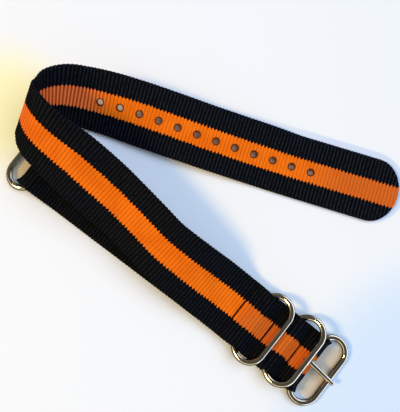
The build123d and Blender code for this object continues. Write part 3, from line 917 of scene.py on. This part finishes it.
def tongue():
    """The eye is a ring about the bar: a strip's section, with rounded corners, carried round a circle. The
    pin is a tube along a straight line that rises a little in its middle, and narrows to a rounded tip."""
    angles = np.linspace(0, 2 * np.pi, EYE_STEPS, endpoint=False)
    middle_r = TONGUE_BORE + TONGUE_WALL / 2
    path = np.stack([BAR_X[2] + middle_r * np.cos(angles), np.full(EYE_STEPS, TONGUE_Y),
                     BAR_Z + middle_r * np.sin(angles)], axis=1)
    travel = unit(np.roll(path, -1, axis=0) - np.roll(path, 1, axis=0))
    sideways = np.array((0.0, 1.0, 0.0))
    outward = np.cross(travel, sideways)
    corner = np.arange(EYE_SIDES) * 2 * np.pi / EYE_SIDES
    wide = np.sign(np.cos(corner)) * np.abs(np.cos(corner)) ** EYE_CORNER_POWER * EYE_HALF
    thick = np.sign(np.sin(corner)) * np.abs(np.sin(corner)) ** EYE_CORNER_POWER
    thick = thick * (TONGUE_WALL / 2 - EYE_PLAY)
    eye_points = path[:, None] + sideways * wide[None, :, None] + outward[:, None] * thick[None, :, None]
    eye_points = eye_points.reshape(-1, 3)
    eye_faces = wrapped(EYE_STEPS, EYE_SIDES, True)[:, ::-1].tolist()

    far_x = BAR_X[2] + (BUCKLE_WIDTH - WIRE) * np.cos(buckle_droop)
    pin_root = np.array((BAR_X[2], TONGUE_Y + TONGUE_SKEW, BAR_Z + TONGUE_BORE))
    pin_over = np.array((far_x, TONGUE_Y - TONGUE_SKEW, WIRE + PIN_ABOVE_BAR + PIN_TIP_R))
    pin_length = np.linalg.norm(pin_over - pin_root) + PIN_PAST_BAR
    end_share = 1 - (1 - PIN_TAPER_SHARE) * np.cos(np.linspace(PIN_TIP_TURN, np.pi / 2, PIN_TIP_POINTS))
    share = np.concatenate([np.linspace(0, PIN_TAPER_SHARE, PIN_POINTS), end_share])
    radius = PIN_ROOT_R + (PIN_TIP_R - PIN_ROOT_R) * np.clip(share / PIN_TAPER_SHARE, 0, 1)
    cap = np.clip((share * pin_length - (pin_length - PIN_TIP_R)) / PIN_TIP_R, 0, 1)
    radius = radius * np.sqrt(np.maximum(1 - cap ** 2, PIN_LEAST_SHARE))
    lifted = PIN_RISE * np.sin(np.pi * np.clip(share / PIN_RISE_SHARE, 0, 1))
    pin = pin_root + unit(pin_over - pin_root) * (share * pin_length)[:, None]
    pin = pin + np.array((0, 0, 1.0)) * lifted[:, None]
    pin_points, pin_faces = tube(pin, radius, PIN_SIDES, False)
    faces = eye_faces + [[corner + len(eye_points) for corner in face] for face in pin_faces]
    all_points = np.concatenate([eye_points, pin_points])
    made = make_object("buckle_tongue_pin", all_points, faces, "tongue", tongue_steel)
    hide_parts("buckle_tongue")


tongue()

# Sewing: one stitch after another, each a short sunken arc of thread, on the top and the underside
STITCH = 2.0
STITCH_HALF_SHARE = 0.47
STITCH_POINTS = 11
STITCH_RISE = 0.02
STITCH_DIP = 0.36
SEAM_MARGIN = 1.0
THREAD_R = 0.24
THREAD_SIDES = 8
PLY_PITCH = 0.35
PLY_DEPTH = 0.04
PLY_STRENGTH = 0.7
PLY_SHARE = 0.6
THREAD_FIBRE = (4000.0, 2.0)
THREAD_MATT = 0.55
THREAD_STRAY = 0.2
THREAD_BLACK = ((0.002, 0.002, 0.002, 1), (0.006, 0.006, 0.007, 1))


def thread_material():
    """Black twisted thread: two plies whose turns show as slanting lines."""
    material, start, shader = new_material("sewing_thread")
    place = start.make("ShaderNodeTexCoord", output=3)
    x, y = place.apart()[:2]
    ply = ((x + y) * (2 * np.pi / (PLY_PITCH * MM))).math("SINE")
    fibre = place.noise(*THREAD_FIBRE)
    relief = (ply * PLY_SHARE + fibre * (1 - PLY_SHARE)).bump(PLY_DEPTH * MM, PLY_STRENGTH)
    plug(shader, Base_Color=ply.ramp(-1.0, 1.0).mix(*THREAD_BLACK), Normal=relief,
         Roughness=THREAD_MATT + fibre * THREAD_STRAY, Specular_IOR_Level=SHINE)
    return material


thread = thread_material()


def stitches(name, node, sides):
    """One tube for each stitch on each face given as (band, place, face): an arc that dips into the webbing
    at both of its ends, by the fourth power of the way to them."""
    all_points, all_faces, base = [], [], 0
    count = int((WIDTH - 2 * SEAM_MARGIN) / STITCH)
    offsets = (np.arange(count) - (count - 1) / 2) * STITCH
    share = np.linspace(-1, 1, STITCH_POINTS)
    sink = STITCH_RISE - STITCH_DIP * np.abs(share) ** 4
    for band, place, face in sides:
        for offset in offsets:
            t = offset + share * STITCH * STITCH_HALF_SHARE
            s = np.full_like(t, place)
            normal = band.at(s, band.outward) * face
            path = band.surface(s, t, face) + normal * sink[:, None]
            points, faces = tube(path, THREAD_R, THREAD_SIDES, False)
            all_points.append(points)
            all_faces += [[corner + base for corner in face_corners] for face_corners in faces]
            base += len(points)
    made = make_object(name, np.concatenate(all_points), all_faces, "webbing", thread)
    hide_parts(node)


stitches("first_seam_stitches", "first_seam_row",
         [(main, main.seams[0], 1.0), (short, short.seams[0], -1.0)])
stitches("second_seam_stitches", "second_seam_row",
         [(main, main.seams[1], 1.0), (main, main.seams[4], 1.0)])
stitches("third_seam_stitches", "third_seam_row",
         [(main, main.seams[2], 1.0), (main, main.seams[5], 1.0)])
stitches("end_loop_stitches", "end_loop_seam",
         [(short, short.seams[1], 1.0), (short, short.seams[2], 1.0)])

# Table, with painted light and shade on it: a painted fall of light towards the right, a painted pool of
# yellow light on the left, and painted shade in a corner and inside the buckle and the end ring. Each tint
# has its middle, its reach along x and y, and the range over which it fades. The area of the painted fall of
# light is in square millimetres, from the origin
TABLE_HALF = 1200.0
TABLE_DROP = 0.04
TABLE_AND_FALLOFF = ((0.865, 0.885, 0.935, 1), (0.860, 0.875, 0.915, 1))
TABLE_GREY = (0.8, 0.8, 0.8, 1)
TABLE_MATT = 0.55
TABLE_SHINE = 0.15
FALLOFF_RUN = 90.0
FALLOFF_AREA = (14000.0, 50000.0)
MOTTLE = (30.0, 3.0)
MOTTLE_SHARE = 0.06
GLOW = ((-71.5, 1.0), (25.0, 25.0), (0.35, 1.25))
GLOW_SHARE = 0.9
GLOW_YELLOW = (0.95, 0.90, 0.50, 1)
SHADED_CORNER = ((101.0, 10.0), (42.0, 60.0), (0.25, 1.2))
SHADED_CORNER_BLUE = (0.66, 0.78, 0.945, 1)
BUCKLE_SHADE = ((70.5, 0.8), (4.2, 10.5), (0.3, 1.3))
BUCKLE_SHADE_BROWN = (0.56, 0.490, 0.39, 1)
RING_SHADE = ((-50.5, -3.5), (5.0, 11.0), (0.3, 1.3))
RING_SHADE_BROWN = (0.62, 0.52, 0.34, 1)

# Painted shadow beside the tail and round its tip, and painted light and shade under its holes with a faint
# painted glow, by distance along the flat tail and across it
SHADE_ROUND = (27.5, 0.9)
SHADE_REACH = (12.1, 13.1)
SHADE_RUN = (-45.0, 20.0)
SHADE_SHARE = 0.85
SHADE_BLUE = (0.600, 0.685, 0.885, 1)
BELOW_REACH = (1.3, 1.9)
BELOW_START = (-75.0, -70.0)
BELOW_END = (9.0, 11.0)
BELOW_LIGHT_AND_SHADE = ((0.98, 0.84, 0.62, 1), (0.46, 0.24, 0.16, 1))
BELOW_RUN = (-22.0, -3.0)
BOUNCE_END = (-6.0, -2.0)
BOUNCE = (0.070, 0.032, 0.018, 1)
LOW_REACH = (3.5, 5.0)
LOW_START = (-78.0, -74.0)
LOW_END = (-60.0, -56.0)
LOW_BOUNCE = (0.22, 0.155, 0.085, 1)
DARK = (0, 0, 0, 1)


def table_material():
    """Pale matt table with painted light and shade. Its tints stand for what the lamps here don't give:
    coloured light from around the strap, a fall of light towards the right, a shadow beside the tail, shade
    in a corner and inside two of the rings, and light and shade under the tail's holes. The strip under the
    holes also gives off a very little light of its own."""
    material, start, shader = new_material("pale_table")
    ground = start.make("ShaderNodeTexCoord", output=3)
    east, north = (axis / MM for axis in ground.apart()[:2])

    def spot(tint, power, root=1.0):
        """1 in the middle of a tint and 0 beyond it, by the sum of the two shares' powers."""
        (east_at, north_at), (east_reach, north_reach), fade = tint
        away = ((east - east_at) / east_reach) ** power + ((north - north_at) / north_reach) ** power
        return (away ** root).fade(*fade)

    # Painted fall of light across the table towards the right
    falloff_reach = (east ** 2.0 + north ** 2.0).fade(*FALLOFF_AREA)
    rightward = east * CAMERA_RIGHT[0] + north * CAMERA_RIGHT[1]
    colour = (rightward.ramp(0.0, FALLOFF_RUN) * falloff_reach).mix(*TABLE_AND_FALLOFF)
    # Painted pool of yellow light on the left
    colour = (spot(GLOW, 2.0, 0.5) * GLOW_SHARE).mix(colour, GLOW_YELLOW)
    # Painted shade in a corner of the table
    colour = spot(SHADED_CORNER, 2.0).mix(colour, SHADED_CORNER_BLUE)
    # Painted shade inside the buckle and the end ring
    colour = spot(BUCKLE_SHADE, 4.0).mix(colour, BUCKLE_SHADE_BROWN)
    colour = spot(RING_SHADE, 4.0).mix(colour, RING_SHADE_BROWN)

    tail_cos, tail_sin = float(np.cos(TAIL_ANGLE)), float(np.sin(TAIL_ANGLE))
    flat_x, flat_y = float(FLAT_START[0]), float(FLAT_START[1])
    along_tail = (east - flat_x) * tail_cos + (north - flat_y) * tail_sin
    across_tail = (north - flat_y) * tail_cos - (east - flat_x) * tail_sin
    beside_tail = abs(across_tail)
    # Painted shadow beside the tail's far edge and round its tip
    past_round = (along_tail - SHADE_ROUND[0]).math("MAXIMUM", 0.0)
    from_round = (past_round ** 2.0 + (across_tail - SHADE_ROUND[1]) ** 2.0) ** 0.5
    shade = from_round.fade(*SHADE_REACH) * along_tail.ramp(*SHADE_RUN, 0.0, SHADE_SHARE)
    colour = shade.mix(colour, SHADE_BLUE)
    # Painted light and shade on the table under the holes
    below_holes = beside_tail.fade(*BELOW_REACH) * along_tail.fade(*BELOW_END)
    below_holes = below_holes * along_tail.ramp(*BELOW_START)
    colour = below_holes.mix(colour, along_tail.ramp(*BELOW_RUN).mix(*BELOW_LIGHT_AND_SHADE))
    # Painted glow of bounced light under the holes, given off by the table
    low_holes = beside_tail.fade(*LOW_REACH) * along_tail.ramp(*LOW_START) * along_tail.fade(*LOW_END)
    bounce = (below_holes * along_tail.fade(*BOUNCE_END)).mix(DARK, BOUNCE)

    mottle = ground.noise(*MOTTLE)
    plug(shader, Base_Color=(mottle * MOTTLE_SHARE).mix(colour, TABLE_GREY), Roughness=TABLE_MATT,
         Specular_IOR_Level=TABLE_SHINE, Emission_Color=low_holes.mix(bounce, LOW_BOUNCE),
         Emission_Strength=1.0)
    return material


floor_mesh = bpy.data.meshes.new("floor")
floor_half = TABLE_HALF * MM
floor_mesh.from_pydata([(-floor_half, -floor_half, 0), (floor_half, -floor_half, 0),
                        (floor_half, floor_half, 0), (-floor_half, floor_half, 0)], [], [(0, 1, 2, 3)])
floor_mesh.materials.append(table_material())
floor = new_object("floor", floor_mesh)
floor.location = (0, 0, -TABLE_DROP * MM)
floor.visible_glossy = False

# Camera, with its right squared to its forward direction
camera_data = bpy.data.cameras.new("camera")
camera_data.sensor_fit = "HORIZONTAL"
camera_data.sensor_width = SENSOR
camera_data.lens = SENSOR * LENS_PX / FRAME_PX
camera_data.clip_start = CAMERA_NEAR * MM
camera = new_object("camera", camera_data)
forward = Vector(CAMERA_FORWARD).normalized()
right = Vector(CAMERA_RIGHT)
right = (right - forward * right.dot(forward)).normalized()
up = right.cross(forward)
turn = Matrix((right, up, -forward)).transposed().to_4x4()
camera.matrix_world = Matrix.Translation(Vector(CAMERA_AT) * MM) @ turn
bpy.context.scene.camera = camera

# Lights, aimed at the middle of the strap, with distances and sizes in mm
AIM = (12.0, 15.0, 5.0)
IMAGE_RIGHT = np.array(CAMERA_RIGHT)
IMAGE_UP = np.array((-CAMERA_RIGHT[1], CAMERA_RIGHT[0], 0.0))
UP = np.array((0.0, 0.0, 1.0))
KEY_WAY = -0.949 * IMAGE_RIGHT - 0.050 * IMAGE_UP + 1.0 * UP
KEY_COLOUR = (1.0, 0.653, 0.194)
WINDOW_WAY = 0.50 * IMAGE_RIGHT + 0.10 * IMAGE_UP + 0.90 * UP
WINDOW_COLOUR = (0.601, 0.762, 1.0)


def area_light(name, direction, distance, size, energy, colour):
    """Square light at a distance from the strap's middle, facing it."""
    data = bpy.data.lights.new(name, "AREA")
    data.shape = "SQUARE"
    data.size = size * MM
    data.energy = energy
    data.color = colour
    light = new_object(name, data)
    away = Vector(direction).normalized()
    light.location = (Vector(AIM) + away * distance) * MM
    light.rotation_euler = (-away).to_track_quat("-Z", "Y").to_euler()
    return light


area_light("warm_key", KEY_WAY, distance=1200.0, size=250.0, energy=8.9, colour=KEY_COLOUR)
window = area_light("cool_window", WINDOW_WAY, distance=2500.0, size=2200.0, energy=58.0,
                    colour=WINDOW_COLOUR)
window.visible_glossy = False

# The room that only reflections see, and the even light that falls on everything
ROOM_WALL = (0.150, 0.140, 0.115, 1)
ROOM_CEILING = (0.085, 0.078, 0.060, 1)
ROOM_FLOOR = (0.070, 0.062, 0.048, 1)
ROOM_WINDOW = (1.6, 1.7, 1.85, 1)
ROOM_LAMP = (1.1, 0.93, 0.58, 1)
EVEN_LIGHT = (0.238, 0.290, 0.318, 1)
BACKDROP = (0.93, 0.93, 0.93, 1)

# Edges of what stands in the room: sideways as shares of a horizontal direction, and upwards as the height
# of a direction of length 1
WINDOW_SIDE = (0.10, 0.40)
WINDOW_TOP = (0.40, 0.48)
WINDOW_SILL = (-0.30, -0.20)
LAMP_SIDE = (0.45, 0.75)
LAMP_FOOT = (0.12, 0.20)
LAMP_TOP = (0.56, 0.64)
CEILING_EDGE = (0.52, 0.66)
FLOOR_EDGE = (-0.15, 0.0)
LEAST = 0.0001


def studio_light(tree):
    """Colour of the surroundings by direction: a dark room with a window on the right of the picture and a
    lamp on its lower left for reflected rays, a white backdrop for the camera, and an even light for the
    others."""
    sky = Shade(tree)
    direction = sky.make("ShaderNodeTexCoord", output=0)
    height = direction.apart()[2]
    level_share = (1.0 - height ** 2.0).math("MAXIMUM", LEAST) ** 0.5

    def towards(way):
        """How far a direction points along a horizontal way, whatever its height."""
        inputs = {0: direction, 1: tuple(way)}
        pointing = direction.make("ShaderNodeVectorMath", inputs, output=1, operation="DOT_PRODUCT")
        return pointing / level_share

    bright = towards(IMAGE_RIGHT).ramp(*WINDOW_SIDE) * height.fade(*WINDOW_TOP) * height.ramp(*WINDOW_SILL)
    lamp = towards(unit(-IMAGE_RIGHT - IMAGE_UP)).ramp(*LAMP_SIDE) * height.ramp(*LAMP_FOOT)
    lamp = lamp * height.fade(*LAMP_TOP)
    room = height.ramp(*CEILING_EDGE).mix(ROOM_WALL, ROOM_CEILING)
    room = height.fade(*FLOOR_EDGE).mix(room, ROOM_FLOOR)
    room = bright.mix(room, ROOM_WINDOW)
    room = lamp.mix(room, ROOM_LAMP)
    seen = sky.make("ShaderNodeLightPath", output="Is Glossy Ray").mix(EVEN_LIGHT, room)
    return sky.make("ShaderNodeLightPath", output="Is Camera Ray").mix(seen, BACKDROP)


world = bpy.data.worlds.new("studio")
world.use_nodes = True
bpy.context.scene.world = world
plug(world.node_tree.nodes["Background"], Color=studio_light(world.node_tree), Strength=1.0)

bpy.context.scene.view_settings.view_transform = "Standard"
